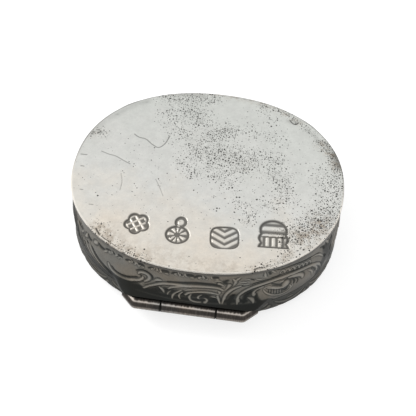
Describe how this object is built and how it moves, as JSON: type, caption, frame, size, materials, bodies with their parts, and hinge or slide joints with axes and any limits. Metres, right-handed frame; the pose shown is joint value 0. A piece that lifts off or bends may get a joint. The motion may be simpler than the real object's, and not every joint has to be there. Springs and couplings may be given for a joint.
{
  "type": "oval hinged silver box",
  "caption": "Small oval silver box with a plain base, a swelled ornamented wall and a lid on a mitred barrel hinge, lying on its lid with the base upwards.",
  "frame": {"origin": "on the surface that the lid lies on, under the middle of the oval; the box lies turned over, as it was pictured", "axes": "+X along the hinge, with the hinge on the -Y side; +Z out of the box's base"},
  "size_m": [0.0446, 0.0432, 0.0121],
  "materials": {
    "base_silver": "satin silver, pitted and scratched with use",
    "wall_silver": "oxidised silver, dark in the recesses and rubbed on the raised lines",
    "mouth_silver": "plain filed silver, tarnished",
    "inner_silver": "plain silver, lightly tarnished",
    "hinge_silver": "filed silver, rubbed bright along its ridge",
    "lid_silver": "worn silver, tarnished in the recesses"
  },
  "bodies": {
    "lid": {"lid_panel": "lid_silver", "lid_border": "lid_silver", "lid_band": "wall_silver", "lid_mouth_plate": "mouth_silver", "centre_knuckle": "hinge_silver", "thumb_piece": "lid_silver"},
    "box_body": {"base_plate": "base_silver", "body_wall": "wall_silver", "body_mouth_plate": "mouth_silver", "body_bezel": "inner_silver", "outer_knuckle_left": "hinge_silver", "outer_knuckle_right": "hinge_silver", "hinge_plug_left": "hinge_silver", "hinge_plug_right": "hinge_silver", "hinge_pin": "hinge_silver"}
  },
  "joints": [
    {"name": "lid_hinge", "type": "hinge", "parent": "lid", "child": "box_body", "pos_m": [0, -0.02049, 0.0036], "axis": [1, 0, 0], "range_deg": [0, 105]}
  ]
}
